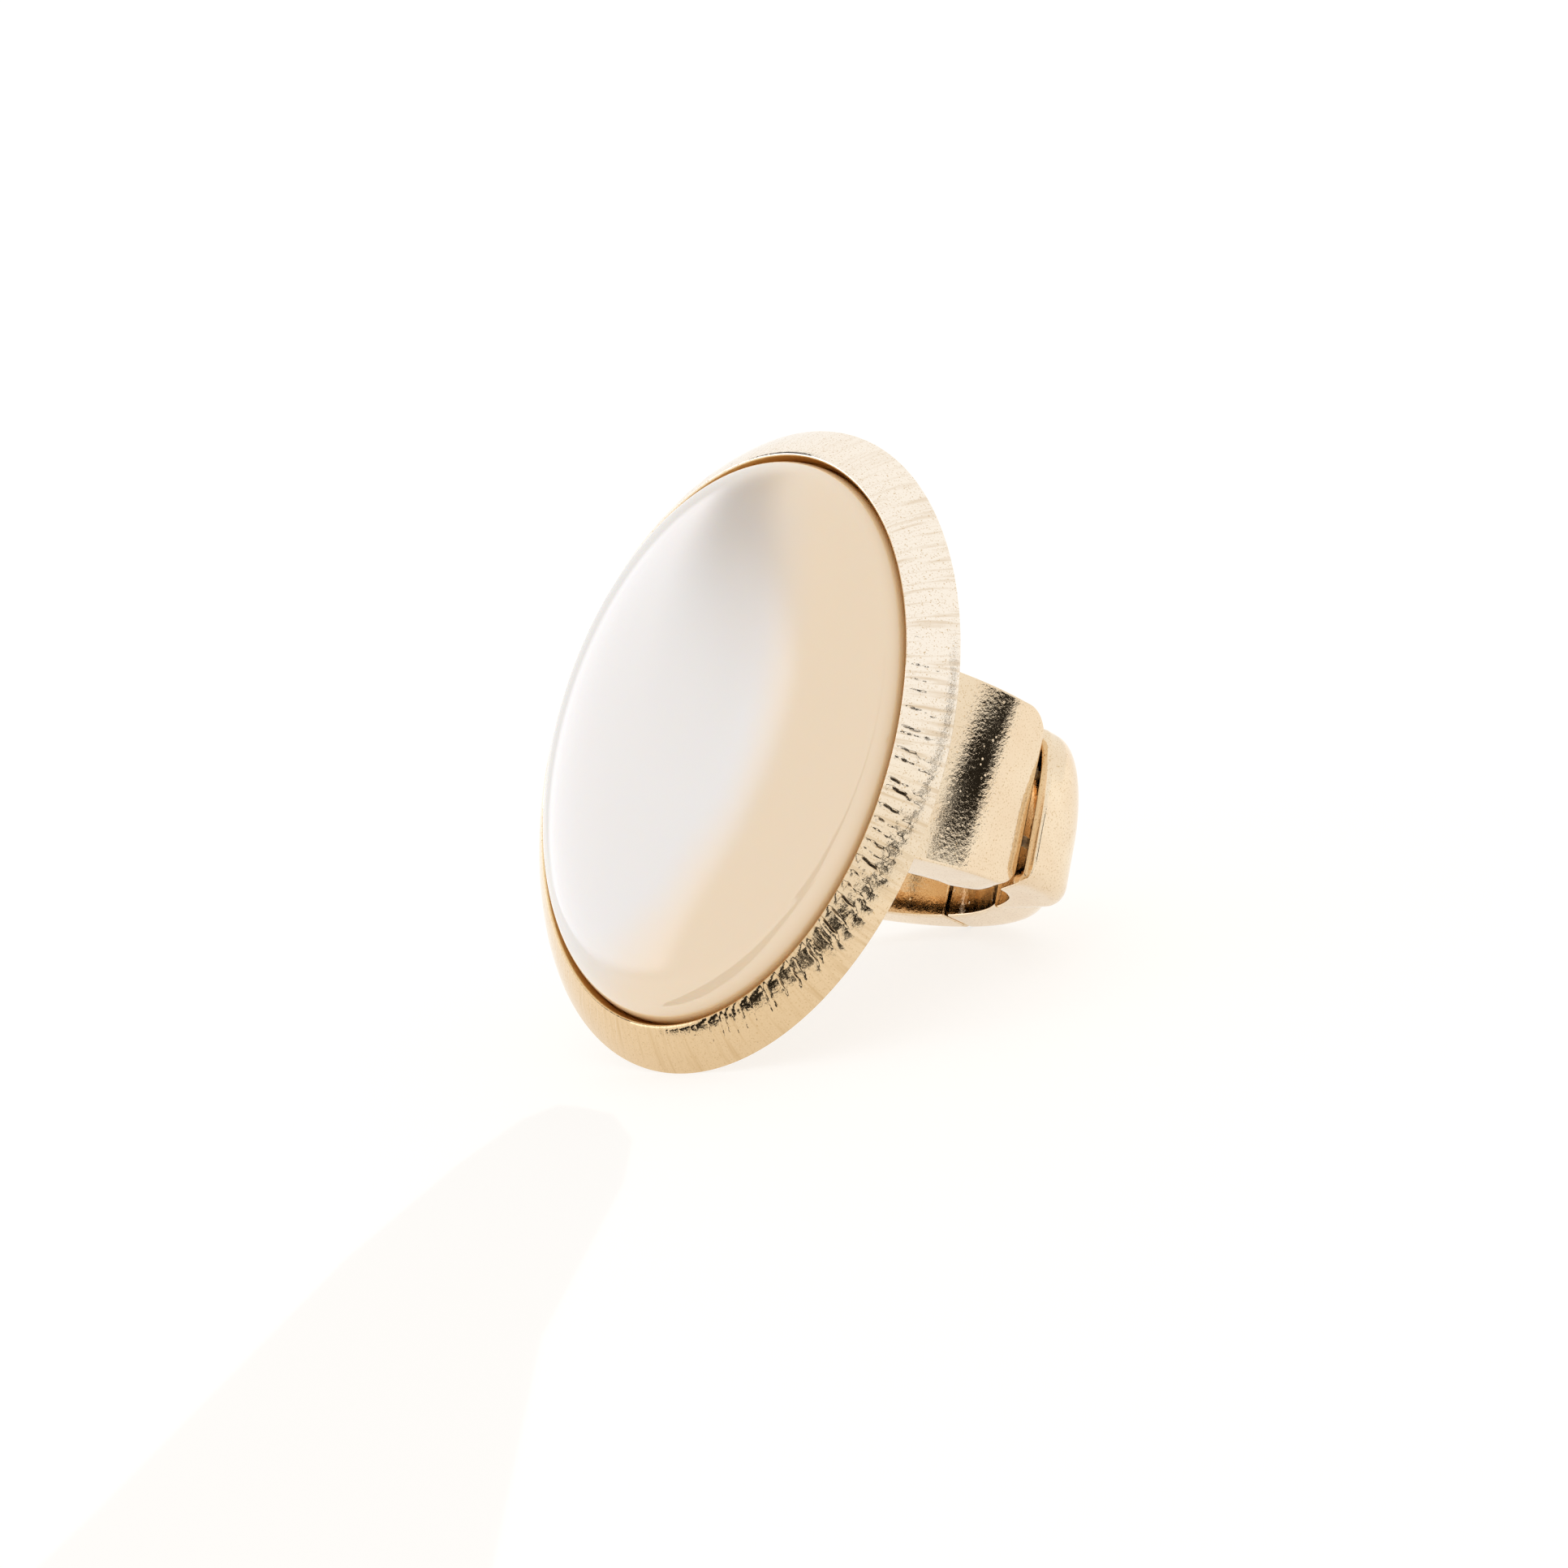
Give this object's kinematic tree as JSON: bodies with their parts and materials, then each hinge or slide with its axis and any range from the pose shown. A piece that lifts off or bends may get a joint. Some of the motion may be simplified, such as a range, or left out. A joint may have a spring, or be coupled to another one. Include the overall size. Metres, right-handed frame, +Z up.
{
  "type": "statement ring",
  "caption": "Statement ring with a large oval cabochon in a slanted, notched rim, on a stretch band of metal links.",
  "frame": {"origin": "middle of the ring's footprint, on the surface that it rests on", "axes": "+Z up from that surface, -Y towards the side that the stone faces, X across the finger"},
  "size_m": [0.0308, 0.031, 0.0307],
  "materials": {
    "gold_tone_metal": "satin",
    "ivory_resin": "gloss",
    "clear_elastic": "gloss"
  },
  "bodies": {
    "root": {"setting": "gold_tone_metal", "cabochon": "ivory_resin", "link_1": "gold_tone_metal", "link_2": "gold_tone_metal", "link_3": "gold_tone_metal", "link_4": "gold_tone_metal", "elastic_1": "clear_elastic", "elastic_2": "clear_elastic"}
  },
  "joints": []
}
